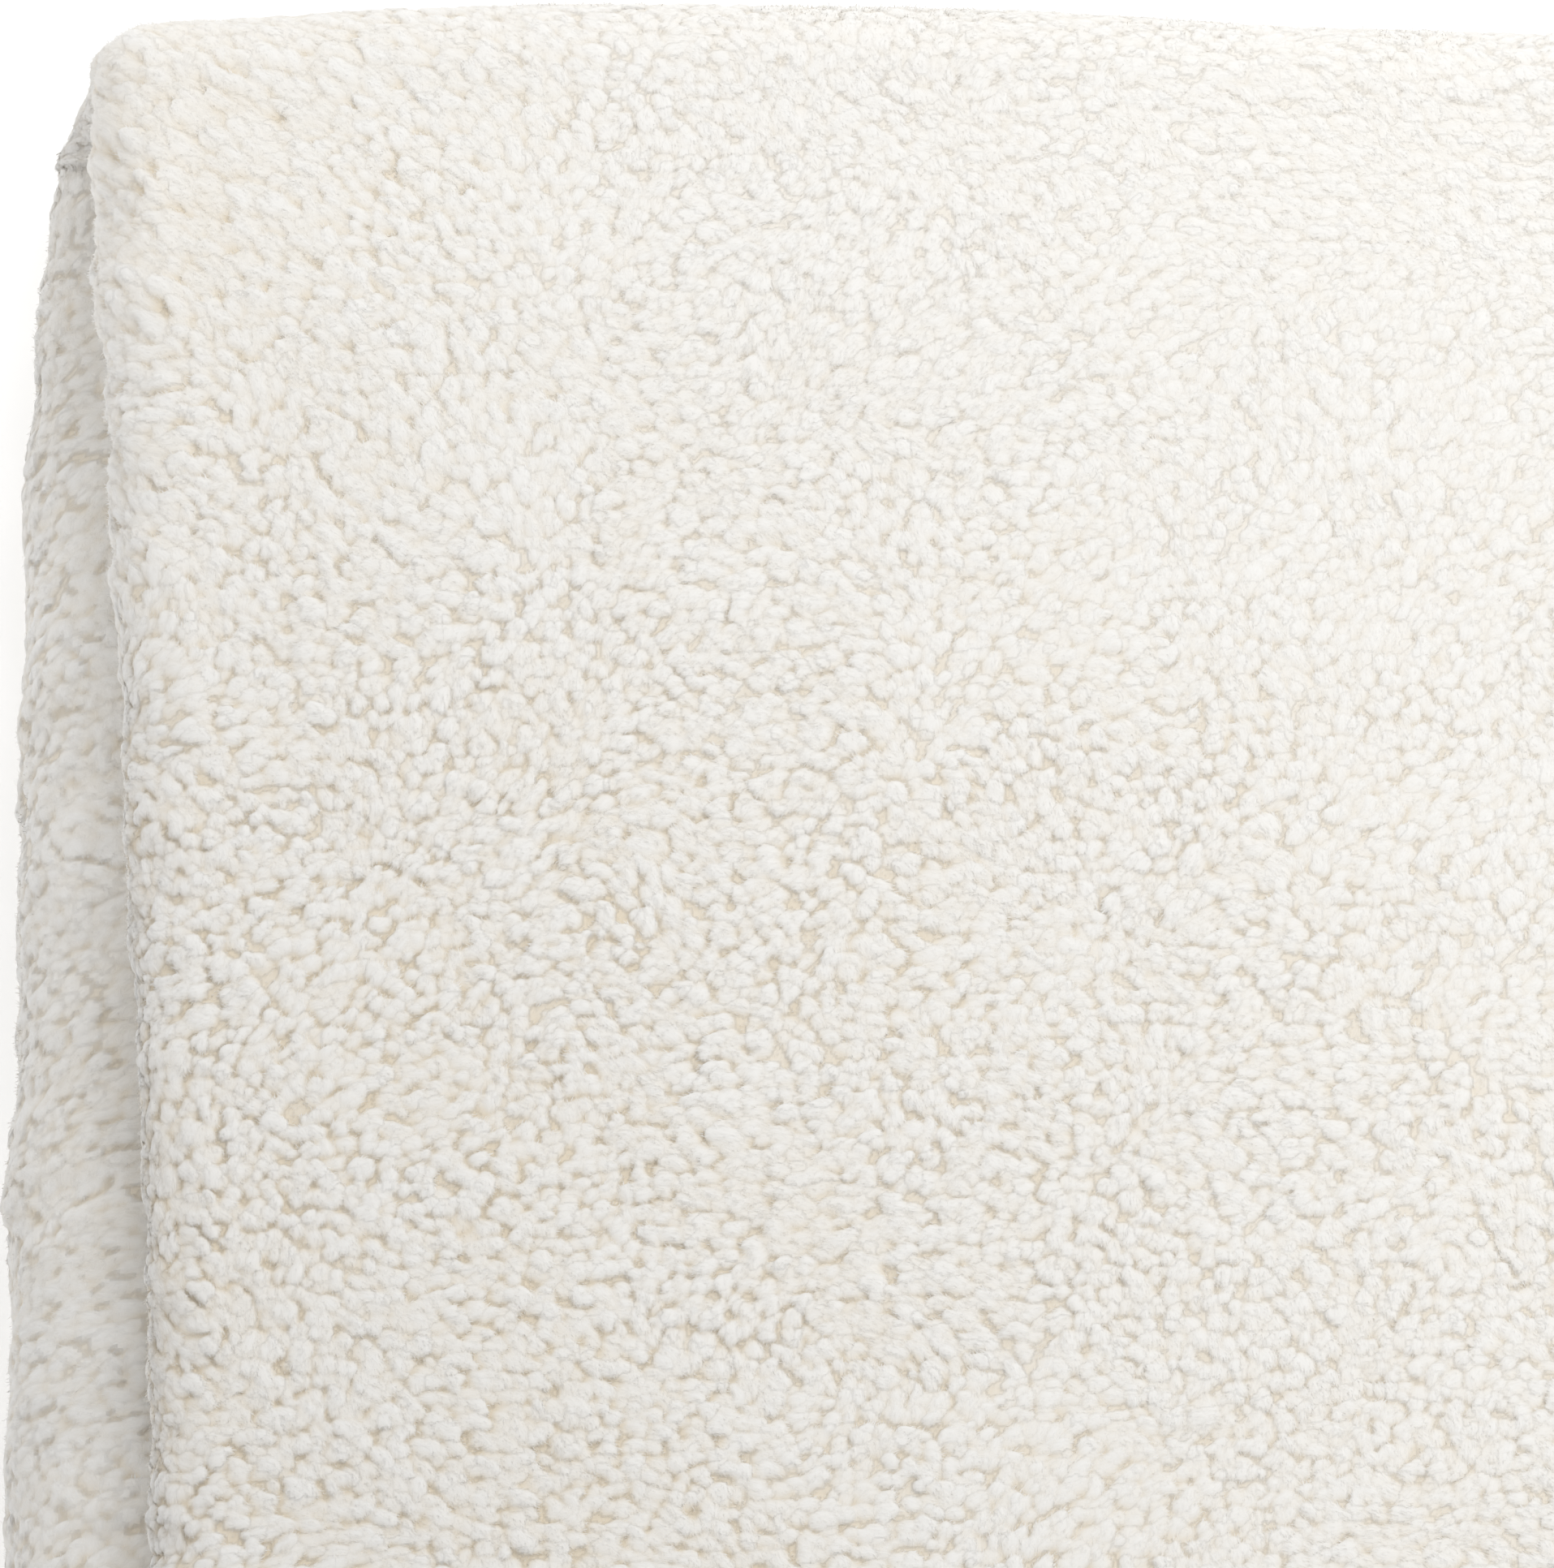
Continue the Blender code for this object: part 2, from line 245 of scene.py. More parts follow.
def scatter_strands(rng):
    """Every tuft's strands: their places and directions, radii, lengths, leans and heights."""
    u, v = lattice(-MAP_U, MAP_U, -MAP_V, MAP_V, TUFT_PITCH, 5)
    hidden = (v < -FOLD_RUN / 2) & (v > -0.41) & (np.abs(u) < 0.225)  # the side that faces the floor
    u, v = u[~hidden], v[~hidden]
    many = rng.choice((1, 2, 3, 4), len(u), p=(0.14, 0.36, 0.34, 0.16))
    tuft_tall = 0.00022 * rng.normal(size=len(u))
    pick = np.repeat(np.arange(len(u)), many)
    order = np.concatenate([np.arange(k) for k in many])
    turn = rng.uniform(0, 2 * math.pi, len(u))[pick] + order * 2 * math.pi / many[pick] \
        + rng.normal(0, 0.4, len(pick))
    apart = rng.uniform(0.0008, 0.00145, len(pick)) * (many[pick] > 1)
    lean_u, lean_v = lean_field(u[pick], v[pick])
    u = u[pick] + apart * np.cos(turn) + 0.0050 * lean_u
    v = v[pick] + apart * np.sin(turn) + 0.0050 * lean_v
    lean = np.hypot(lean_u, lean_v)
    radius = np.choose(many[pick] - 1, (0.0022, 0.00172, 0.00146, 0.0013))
    radius = radius * rng.lognormal(0, 0.24, len(pick))
    radius *= 1 + 0.55 * np.clip(lean - 0.45, 0, 1)
    way_u, way_v = lean_u / lean, lean_v / lean
    twist = rng.normal(0, 0.45, len(pick)) / (1 + 2.5 * lean)
    way_u, way_v = (way_u * np.cos(twist) - way_v * np.sin(twist),
                    way_u * np.sin(twist) + way_v * np.cos(twist))
    longer = 1.06 + 1.5 * np.clip(lean - 0.10, 0, 1.0) + 0.25 * rng.random(len(pick))
    height = tuft_tall[pick] + rng.normal(0, 0.00022, len(pick)) + 0.00030 * noise(u, v, 0.013, 9)
    return np.stack((u, v, way_u, way_v), -1), radius, longer, lean, height


def raise_strands(strands, radius, longer, lean, height):
    """The map's height with every strand raised on it, and which strand is uppermost where."""
    rows, columns = int(2 * MAP_V / MAP_STEP), int(2 * MAP_U / MAP_STEP)
    u, v, way_u, way_v = np.moveaxis(strands, -1, 0)
    total = np.full(rows * columns, math.exp(GAP_HEIGHT / STRAND_BLEND))
    uppermost = np.zeros(rows * columns, dtype=np.int64)
    strand = np.arange(len(strands))
    column, row = (u + MAP_U) / MAP_STEP, (v + MAP_V) / MAP_STEP
    for i in range(-TUFT_REACH, TUFT_REACH + 1):
        for j in range(-TUFT_REACH, TUFT_REACH + 1):
            at_u, at_v = np.floor(column).astype(int) + i, np.floor(row).astype(int) + j
            du, dv = (at_u - column) * MAP_STEP, (at_v - row) * MAP_STEP
            along = (du * way_u + dv * way_v) / (radius * longer)
            across = (dv * way_u - du * way_v) / radius
            far = np.sqrt(along * along + across * across)
            drop = radius * (1.01 - np.sqrt(np.maximum(1.02 - np.minimum(far, 1) ** 2, 0))) \
                + radius * 3.5 * np.maximum(far - 1, 0)
            rise = height + along * radius * longer * 0.16 * np.clip(lean * 2, 0, 1) - drop
            inside = (at_u >= 0) & (at_u < columns) & (at_v >= 0) & (at_v < rows)
            kept = inside & (rise > LOWEST_RISE)
            cell = at_v[kept] * columns + at_u[kept]
            np.add.at(total, cell, np.exp(rise[kept] / STRAND_BLEND))
            # The strand's height and number in one integer, so that the highest wins.
            ranked = ((rise[kept] + 0.01) * 1e7).astype(np.int64) * 2 ** 20 + strand[kept]
            np.maximum.at(uppermost, cell, ranked)
    tall = (STRAND_BLEND * np.log(total)).reshape(rows, columns)
    return tall, (uppermost % 2 ** 20).reshape(rows, columns)


def blurred(table, sizes):
    """The map smoothed over each of these sizes."""
    rows, columns = table.shape
    waves_u, waves_v = np.fft.rfftfreq(columns, MAP_STEP), np.fft.fftfreq(rows, MAP_STEP)
    spectrum, squares = np.fft.rfft2(table), waves_u[None, :] ** 2 + waves_v[:, None] ** 2
    return [np.fft.irfft2(spectrum * np.exp(-2 * (math.pi * size) ** 2 * squares), s=table.shape)
            for size in sizes]


def tuft_map():
    """Maps over the whole of the pile's outside: how high the tufts stand, how deep it is between
    them, and which strand is uppermost, with each strand's place and direction."""
    strands, *shape = scatter_strands(np.random.default_rng(17))
    tall, uppermost = raise_strands(strands, *shape)
    rounded, gentle, level = blurred(tall, (0.00035, 0.00060, 0.0022))
    depth = np.clip((rounded - level + 0.00075) / 0.00120, 0, 1)
    return tall, gentle, depth, uppermost, strands


def look_up(table, u, v):
    """The map's value between its points."""
    column = np.clip((u + MAP_U) / MAP_STEP, 0, table.shape[1] - 1.001)
    row = np.clip((v + MAP_V) / MAP_STEP, 0, table.shape[0] - 1.001)
    i, j = np.floor(column).astype(int), np.floor(row).astype(int)
    f, g = column - i, row - j
    return ((table[j, i] * (1 - f) + table[j, i + 1] * f) * (1 - g)
            + (table[j + 1, i] * (1 - f) + table[j + 1, i + 1] * f) * g)


def strand_coord(u, v):
    """Where a point lies on its own strand, for the fine threads that run along it."""
    column = np.clip(np.round((u + MAP_U) / MAP_STEP).astype(int), 0, UPPERMOST.shape[1] - 1)
    row = np.clip(np.round((v + MAP_V) / MAP_STEP).astype(int), 0, UPPERMOST.shape[0] - 1)
    which = UPPERMOST[row, column]
    at_u, at_v, way_u, way_v = np.moveaxis(STRANDS[which], -1, 0)
    along = (u - at_u) * way_u + (v - at_v) * way_v
    across = (v - at_v) * way_u - (u - at_u) * way_v
    return np.stack((0.28 * along, across, 0.0011 * (which % 17)), -1), way_u, way_v


def grid_normals(points):
    across, along = np.gradient(points, axis=1), np.gradient(points, axis=0)
    return unit(np.cross(across, along))


class Skin:
    """The pile's outside over a grid of stations, with its tufts raised on it."""

    def __init__(self, u_stations, v_stations):
        self.u, self.v = np.meshgrid(u_stations, v_stations)
        u, v = self.u, self.v
        lean_u, lean_v = lean_field(u, v)
        warp_u = u + 0.0006 * noise(u, v, 0.0032, 31) + 0.00028 * noise(u, v, 0.0014, 32)
        warp_v = v + 0.0006 * noise(u, v, 0.0032, 33) + 0.00028 * noise(u, v, 0.0014, 34)
        tall, self.depth = look_up(TALL, warp_u, warp_v), look_up(DEPTH, warp_u, warp_v)
        self.coord, way_u, way_v = strand_coord(warp_u, warp_v)
        lively = liveliness(u, v)
        relief = RELIEF * (0.45 + 0.55 * lively)
        # The painted shade between the tufts, with random patches, weakened where the tufts stand out
        # less: over the fold and to the right, where the light is brightest.
        patches = 0.07 * noise(u, v, 0.011, 42) + 0.05 * noise(u, v, 0.027, 43) - 0.04
        self.depth = np.clip(1 - (1 - self.depth - patches) * (0.30 + 0.70 * lively), 0, 1)
        rim_lumps = smoothstep(0.234, 0.250, np.abs(u)) * (0.0011 * noise(u, v, 0.013, 44)
                                                           + 0.0007 * noise(u, v, 0.0065, 45))
        swell = 0.0007 * noise(u, v, 0.075, 36) + rim_lumps
        tall = relief * tall + 0.00010 * noise(u, v, 0.0012, 35) + swell
        push = np.clip(tall + 0.0020, 0, None)
        self.points, self.weight, self.there = skin_point(u, v, tall, lean_u * push, lean_v * push)
        above, _, _ = skin_point(u, v, tall + 0.001, lean_u * (push + 0.001), lean_v * (push + 0.001))
        grow = unit(above - self.points)
        flat, raised = skin_point(u, v, 0.0 * u)[0], skin_point(u, v, 0.0 * u + 0.001)[0]
        self.even = unit(raised - flat)
        self.way = unit(way_u[..., None] * unit(np.gradient(flat, axis=1))
                        + way_v[..., None] * unit(np.gradient(flat, axis=0)))
        normals = grid_normals(self.points)
        normals *= np.sign(np.sum(normals * grow, axis=-1, keepdims=True)).mean()
        self.points = self.points + normals * (0.00030 * self.depth[..., None])
        # The mat's own weight presses the pile flat against the floor.
        z = self.points[..., 2]
        self.points[..., 2] = np.where(z < 0.0008, 0.0004 + 0.0004 * np.exp((z - 0.0008) / 0.0008), z)
        facing = np.sum(grid_normals(self.points) * grow, axis=-1, keepdims=True)
        self.flipped = facing.mean() < 0
        # Light soaks into loose cotton, so it shades more gently and evenly than its shape alone would.
        gentle = relief * look_up(GENTLE, warp_u, warp_v) + swell
        push = np.clip(gentle + 0.0020, 0, None)
        soft = grid_normals(skin_point(u, v, gentle, lean_u * push, lean_v * push)[0])
        soft *= -1 if self.flipped else 1
        self.shading = unit(soft * (1 - EVENNESS) + self.even * EVENNESS)

    def strips(self, name, count, body, rows=slice(None)):
        """The skin as several pieces side by side, which share their edges and shading."""
        u, points, shading, depth, coord, weight, there = (
            values[rows] for values in (self.u, self.points, self.shading, self.depth, self.coord,
                                        self.weight, self.there))
        rows, columns = u.shape
        cuts = np.linspace(0, columns - 1, count + 1).astype(int)
        for number, (first, last) in enumerate(zip(cuts[:-1], cuts[1:]), 1):
            part = slice(first, last + 1)
            wide = last + 1 - first
            index = np.arange(rows * wide).reshape(rows, wide)
            quads = np.stack((index[:-1, :-1], index[:-1, 1:], index[1:, 1:], index[1:, :-1]), -1)
            quads = quads.reshape(-1, 4)
            if self.flipped:
                quads = quads[:, ::-1]
            quads = quads[there[:, part].ravel()[quads].any(axis=1)]
            used, corners = np.unique(quads, return_inverse=True)
            corners = corners.reshape(-1)

            def take(values):
                return values[:, part].reshape((rows * wide,) + values.shape[2:])[used]

            obj = add_mesh(f"{name}_{number}", take(points), np.full(len(quads), 4), corners, PILE)
            obj.data.normals_split_custom_set_from_vertices(take(shading).tolist())
            add_values(obj, "tuft_depth", take(depth))
            add_values(obj, "tuft_coord", take(coord))
            row, column = np.divmod(used, wide)
            uv = np.stack((column / (wide - 1), row / (rows - 1)), -1)
            add_unwrap(obj, uv[corners])
            put(obj, body)

    def fibres(self, name, count, pieces, body, seed, where):
        """Loose fibres over the skin, each a thin bent ribbon that lies up its tuft and lifts off it."""
        rng = np.random.default_rng(seed)
        spots = rng.choice(np.flatnonzero((self.there & where).ravel()), count)

        def flat(values):
            return values.reshape((-1,) + values.shape[2:])[spots]

        at, way, depth, even, shade = (flat(values) for values in (
            self.points, self.way, self.depth, self.even, self.shading))
        stray = unit(rng.normal(size=(count, 3)))
        away = unit(way + 0.26 * even + 0.48 * stray)
        away = unit(away + (0.08 - np.minimum(np.sum(away * even, -1, keepdims=True), 0.08)) * even * 1.2)
        reach = (FIBRE_LENGTH * rng.uniform(0.35, 1.0, count) * (0.55 + 0.45 * depth))[:, None]
        start = at - even * 0.0002 + stray * 0.0003
        middle = start + away * reach * 0.55
        bend = unit(away + 0.6 * unit(rng.normal(size=(count, 3))) - even * 0.10)
        end = middle + bend * reach * 0.5
        across = unit(np.cross(away, even)) * FIBRE_WIDTH / 2
        points = np.stack((start - across, start + across, middle - across * 0.8,
                           middle + across * 0.8, end), axis=1)
        points[..., 2] = np.maximum(points[..., 2], PILE_FLOOR)
        order = np.argsort(flat(self.u), kind="stable")
        columns = int(math.ceil(math.sqrt(count / pieces))) + 1
        shape = np.array(((0.2, 0.1), (0.8, 0.1), (0.8, 0.5), (0.2, 0.5),
                          (0.2, 0.5), (0.8, 0.5), (0.5, 0.9)))
        corners = np.array((0, 1, 3, 2, 2, 3, 4))
        for number, some in enumerate(np.array_split(order, pieces), 1):
            n = len(some)
            all_corners = (corners[None, :] + 5 * np.arange(n)[:, None]).ravel()
            obj = add_mesh(f"{name}_{number}", points[some].reshape(-1, 3), np.tile((4, 3), n),
                           all_corners, FUZZ)
            shading = np.repeat(shade[some], 5, axis=0)
            obj.data.normals_split_custom_set_from_vertices(shading.tolist())
            # Each fibre carries the painted shade of the spot it grows from, with a random tint on top.
            add_values(obj, "tuft_depth", np.repeat(depth[some] * rng.uniform(0.6, 1.0, n), 5))
            cell = np.stack((np.arange(n) % columns, np.arange(n) // columns), -1)
            add_unwrap(obj, ((cell[:, None, :] + shape[None]) / columns).reshape(-1, 2))
            put(obj, body)


def lattice(x0, x1, y0, y1, pitch, seed, jitter=0.30):
    """Staggered rows of points, each a little off its place."""
    rng = np.random.default_rng(seed)
    rows = np.arange(y0, y1, pitch * 0.866)
    columns = np.arange(x0, x1, pitch)
    x, y = np.meshgrid(columns, rows)
    x = x + (np.arange(len(rows)) % 2)[:, None] * pitch / 2
    x = x + rng.uniform(-jitter, jitter, x.shape) * pitch
    y = y + rng.uniform(-jitter, jitter, y.shape) * pitch
    return x.ravel(), y.ravel()


# ---------------------------------------------------------------- layers under the pile

def mat_point(x, s, z, bowed=0):
    """A point of the flat mat at width x and length s, z out from the middle of the stack. Only the
    upper side bows, so that the pile of the two leaves stays apart when the mat is opened."""
    fold_x = x / math.cos(SKEW)
    points = np.empty(np.shape(x) + (3,))
    for side in (-1, 1):
        share = np.clip((side * s - ARC) / LEAF_LENGTH, 0, None)[..., None]
        at_fold = np.stack((fold_x, 0 * fold_x, side * z + 0 * x), -1)
        at_end = turned(x, -LEAF_LENGTH + 0 * x, z, side)
        here = side * s > ARC
        flat = at_fold + (at_end - at_fold) * share
        points[here] = flat[here]
    angle = np.clip((s + ARC) / (2 * ARC), 0, 1) * math.pi
    bent = round_fold(fold_x, z + 0 * x, angle)
    on_fold = np.abs(s) <= ARC
    points[on_fold] = bent[on_fold]
    weight = angle / math.pi
    return to_world(points, bowed * smoothstep(0.05, 0.50, weight)), weight


def length_stations(step, fold_step):
    """Places along the whole cloth, closer together round the fold."""
    leaf = np.linspace(ARC, LEAF_LENGTH + ARC, int(LEAF_LENGTH / step) + 1)
    fold = np.linspace(-ARC, ARC, int(2 * ARC / fold_step) + 1)
    return np.concatenate((-leaf[::-1], fold[1:-1], leaf))


def layer(name, x_stations, s_stations, z_low, z_high, material):
    """A closed thin layer that follows the mat, round its fold where it reaches that far."""
    xs, ss = np.meshgrid(x_stations, s_stations, indexing="ij")
    rows, columns = xs.shape
    low, weight = mat_point(xs, ss, z_low)
    high, _ = mat_point(xs, ss, z_high)
    points = np.concatenate((low.reshape(-1, 3), high.reshape(-1, 3)))
    index = np.arange(rows * columns).reshape(rows, columns)
    a, b, c, d = index[:-1, :-1], index[1:, :-1], index[1:, 1:], index[:-1, 1:]
    lower = np.stack((a, b, c, d), -1).reshape(-1, 4)
    upper = np.stack((d, c, b, a), -1).reshape(-1, 4) + rows * columns
    rim = np.concatenate((index[:, 0], index[-1, 1:], index[-2::-1, -1], index[0, -2:0:-1]))
    after = np.roll(rim, -1)
    wall = np.stack((after, rim, rim + rows * columns, after + rows * columns), -1)
    faces = np.concatenate((lower, upper, wall))
    obj = add_mesh(name, points, np.full(len(faces), 4), faces.ravel(), material, smooth=False)
    flat = np.stack((np.concatenate((xs.ravel(), xs.ravel())),
                     np.concatenate((ss.ravel(), ss.ravel())),
                     np.concatenate(((z_low + 0 * xs).ravel(), (z_high + 0 * xs).ravel()))), -1)
    add_values(obj, "mat_coord", flat)
    return obj, np.concatenate((weight.ravel(), weight.ravel()))


def stitch_object(name, starts, ends, z, material):
    """Separate lock stitches, each a short rounded bar of thread on the back of the hem."""
    sides, thick = 6, 0.00032
    ring = np.arange(sides) * 2 * math.pi / sides
    t = np.array((0.0, 0.12, 0.5, 0.88, 1.0))
    swell = np.array((0.35, 0.85, 1.0, 0.85, 0.35))
    sink = np.array((0.0007, 0.0002, 0.0, 0.0002, 0.0007))
    starts, ends = np.asarray(starts), np.asarray(ends)
    n = len(starts)
    along = unit(ends - starts)
    side_way = np.stack((-along[:, 1], along[:, 0]), -1)
    centre = starts[:, None] + (ends - starts)[:, None] * t[None, :, None]
    swell = swell[None, :, None]
    x = centre[..., 0][..., None] + side_way[:, 0, None, None] * thick * np.cos(ring) * swell
    s = centre[..., 1][..., None] + side_way[:, 1, None, None] * thick * np.cos(ring) * swell
    height = z + sink[None, :, None] + thick * np.sin(ring)[None, None, :] * swell + 0 * x
    points, weight = mat_point(x, s, height)
    per = len(t) * sides
    quads = [(r * sides + i, r * sides + (i + 1) % sides,
              (r + 1) * sides + (i + 1) % sides, (r + 1) * sides + i)
             for r in range(len(t) - 1) for i in range(sides)]
    caps = [list(range(sides))[::-1], [(len(t) - 1) * sides + i for i in range(sides)]]
    corners = np.concatenate((np.ravel(quads), np.ravel(caps)))
    sizes = np.tile([4] * len(quads) + [sides] * 2, n)
    all_corners = (corners[None] + per * np.arange(n)[:, None]).ravel()
    obj = add_mesh(name, points.reshape(-1, 3), np.asarray(sizes), all_corners, material)
    add_values(obj, "mat_coord", np.stack((x, s, height), -1).reshape(-1, 3))
    return obj, weight.reshape(-1)


# ---------------------------------------------------------------- materials

def new_material(name, roughness=0.9, specular=0.25):
    material = bpy.data.materials.new(name)
    material.use_nodes = True
    tree = material.node_tree
    shader = tree.nodes["Principled BSDF"]
    shader.inputs["Roughness"].default_value = roughness
    shader.inputs["Specular IOR Level"].default_value = specular
    return material, tree, shader


def node(tree, kind, **settings):
    made = tree.nodes.new(kind)
    for key, value in settings.items():
        if key in made.inputs:
            made.inputs[key].default_value = value
        else:
            setattr(made, key, value)
    return made


def ramp(tree, stops):
    made = tree.nodes.new("ShaderNodeValToRGB")
    elements = made.color_ramp.elements
    while len(elements) < len(stops):
        elements.new(0.5)
    for element, (place, colour) in zip(elements, stops):
        element.position = place
        element.color = (*colour, 1.0)
    return made


def cotton(name, stops):
    """Cotton pile: painted shade, warmer and darker, down between the tufts, whiter at their ends, with
    fine fibres.
    """
    material, tree, shader = new_material(name, roughness=0.95, specular=0.15)
    link = tree.links.new
    depth = node(tree, "ShaderNodeAttribute", attribute_name="tuft_depth")
    coord = node(tree, "ShaderNodeAttribute", attribute_name="tuft_coord")
    strands = node(tree, "ShaderNodeTexNoise", Scale=1900.0, Detail=3.0, Roughness=0.65)
    wisps = node(tree, "ShaderNodeTexNoise", Scale=700.0, Detail=2.0, Roughness=0.6)
    link(coord.outputs["Vector"], strands.inputs["Vector"])
    link(coord.outputs["Vector"], wisps.inputs["Vector"])
    # The painted shade: a darker, warmer colour down between the tufts, by tuft_depth.
    colour = ramp(tree, stops)
    link(depth.outputs["Fac"], colour.inputs["Fac"])
    fleck = node(tree, "ShaderNodeMix", data_type="RGBA", blend_type="MULTIPLY")
    fleck.inputs["Factor"].default_value = 0.22
    shade = ramp(tree, ((0.30, (0.84, 0.82, 0.78)), (0.62, (1.0, 1.0, 1.0))))
    link(strands.outputs["Fac"], shade.inputs["Fac"])
    link(colour.outputs["Color"], fleck.inputs["A"])
    link(shade.outputs["Color"], fleck.inputs["B"])
    link(fleck.outputs["Result"], shader.inputs["Base Color"])
    coarse = node(tree, "ShaderNodeBump", Strength=0.35, Distance=0.0005)
    link(wisps.outputs["Fac"], coarse.inputs["Height"])
    fine = node(tree, "ShaderNodeBump", Strength=0.35, Distance=0.0003)
    link(strands.outputs["Fac"], fine.inputs["Height"])
    link(coarse.outputs["Normal"], fine.inputs["Normal"])
    link(fine.outputs["Normal"], shader.inputs["Normal"])
    shader.inputs["Sheen Weight"].default_value = 0.25
    shader.inputs["Sheen Roughness"].default_value = 0.6
    return material


def fibre_material(name, low, tip):
    material, tree, shader = new_material(name, roughness=0.9, specular=0.15)
    # Darker and warmer low in the pile: painted shade, as on the skin.
    depth = node(tree, "ShaderNodeAttribute", attribute_name="tuft_depth")
    colour = ramp(tree, ((0.0, low), (0.8, tip)))
    tree.links.new(depth.outputs["Fac"], colour.inputs["Fac"])
    tree.links.new(colour.outputs["Color"], shader.inputs["Base Color"])
    return material


def woven(name, light, dark, pitch, depth, roughness=0.9):
    """Plain-woven cloth, from two crossed sets of bands in the flat mat's own directions."""
    material, tree, shader = new_material(name, roughness=roughness, specular=0.2)
    link = tree.links.new
    coord = node(tree, "ShaderNodeAttribute", attribute_name="mat_coord")
    warp = node(tree, "ShaderNodeTexWave", wave_type="BANDS", bands_direction="X",
                Scale=0.31416 / pitch, Distortion=0.6, Detail=1.0)
    weft = node(tree, "ShaderNodeTexWave", wave_type="BANDS", bands_direction="Y",
                Scale=0.31416 / pitch, Distortion=0.6, Detail=1.0)
    link(coord.outputs["Vector"], warp.inputs["Vector"])
    link(coord.outputs["Vector"], weft.inputs["Vector"])
    both = node(tree, "ShaderNodeMath", operation="MULTIPLY")
    link(warp.outputs["Fac"], both.inputs[0])
    link(weft.outputs["Fac"], both.inputs[1])
    slub = node(tree, "ShaderNodeTexNoise", Scale=160.0, Detail=3.0)
    link(coord.outputs["Vector"], slub.inputs["Vector"])
    mixed = node(tree, "ShaderNodeMath", operation="MULTIPLY_ADD")
    mixed.inputs[1].default_value = 0.45
    link(slub.outputs["Fac"], mixed.inputs[0])
    link(both.outputs["Value"], mixed.inputs[2])
    colour = ramp(tree, ((0.15, dark), (0.75, light)))
    link(mixed.outputs["Value"], colour.inputs["Fac"])
    link(colour.outputs["Color"], shader.inputs["Base Color"])
    bump = node(tree, "ShaderNodeBump", Strength=0.6, Distance=depth)
    link(both.outputs["Value"], bump.inputs["Height"])
    link(bump.outputs["Normal"], shader.inputs["Normal"])
    return material


def latex(name):
    """Brushed-on latex: the weave shows through, with thicker patches."""
    material, tree, shader = new_material(name, roughness=0.62, specular=0.35)
    link = tree.links.new
    coord = node(tree, "ShaderNodeAttribute", attribute_name="mat_coord")
    patches = node(tree, "ShaderNodeTexNoise", Scale=45.0, Detail=4.0, Roughness=0.6)
    dimples = node(tree, "ShaderNodeTexVoronoi", Scale=420.0)
    link(coord.outputs["Vector"], patches.inputs["Vector"])
    link(coord.outputs["Vector"], dimples.inputs["Vector"])
    colour = ramp(tree, ((0.30, (0.72, 0.69, 0.61)), (0.70, (0.80, 0.78, 0.70))))
    link(patches.outputs["Fac"], colour.inputs["Fac"])
    link(colour.outputs["Color"], shader.inputs["Base Color"])
    bump = node(tree, "ShaderNodeBump", Strength=0.5, Distance=0.0005)
    link(dimples.outputs["Distance"], bump.inputs["Height"])
    link(bump.outputs["Normal"], shader.inputs["Normal"])
    return material


# The pile's colour by tuft_depth: the warm, darker low end is painted shade between the tufts, the white
# top end the cotton's own colour.
PILE = cotton("pile_cotton_fibre", ((0.0, (0.86, 0.765, 0.615)), (0.55, (0.945, 0.910, 0.850)),
                                    (1.0, (0.972, 0.961, 0.938))))
# The fuzz's beige low end is painted shade, its white tip the cotton's own colour.
FUZZ = fibre_material("pile_cotton_fuzz", (0.91, 0.865, 0.785), (0.975, 0.964, 0.942))
CLOTH = woven("woven_backing", (0.78, 0.73, 0.63), (0.58, 0.52, 0.42), 0.0011, 0.0004)
TAPE = woven("hem_tape_weave", (0.86, 0.84, 0.79), (0.68, 0.64, 0.56), 0.0008, 0.0003)
THREAD = woven("thread_ply", (0.88, 0.86, 0.82), (0.74, 0.71, 0.65), 0.0004, 0.0001, 0.7)
LABEL = woven("label_weave", (0.88, 0.88, 0.86), (0.78, 0.78, 0.76), 0.0004, 0.0001, 0.6)
LATEX = latex("latex_coating")


# ---------------------------------------------------------------- the pieces

def put(obj, body):
    """Rides the piece on its leaf, or, for a piece across both, keeps it fixed with its place baked into
    its points.
    """
    if body == "both":
        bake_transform(obj)
    else:
        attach(obj, body)
    return obj


TALL, GENTLE, DEPTH, UPPERMOST, STRANDS = tuft_map()

# The upper leaf and the fold. The stations go on past the edges, over the rounded sides, and are
# finer towards the left and the fold.
SKIN_U, FINE_TO_U, FINE_TO_V, PAST_END = 0.2930, 0.0600, 0.350, 0.026
full_u = np.concatenate((np.arange(-SKIN_U, FINE_TO_U, FINE_STEP),
                         np.arange(FINE_TO_U, SKIN_U, PLAIN_STEP)))
FOLD_OVERLAP = 0.0013  # the fold's pile laps over the lower leaf's
fold_v = np.linspace(-FOLD_RUN / 2 - FOLD_OVERLAP, FOLD_RUN / 2, 130)
fine_end = FOLD_RUN / 2 + FINE_TO_V
upper_v = np.concatenate((np.arange(FOLD_RUN / 2, fine_end, FINE_STEP),
                          np.arange(fine_end, FOLD_RUN / 2 + LEAF_LENGTH + PAST_END, PLAIN_STEP)))
top = Skin(full_u, np.concatenate((fold_v[:-1], upper_v)))
on_upper = top.v > FOLD_RUN / 2
top.strips("upper_pile", 9, "upper_leaf", slice(len(fold_v) - 1, None))
top.fibres("upper_pile_fibres", 480000, 9, "upper_leaf", 61, where=on_upper)
top.strips("fold_pile", 2, "both", slice(0, len(fold_v)))
top.fibres("fold_pile_fibres", 66000, 1, "both", 62, where=~on_upper)

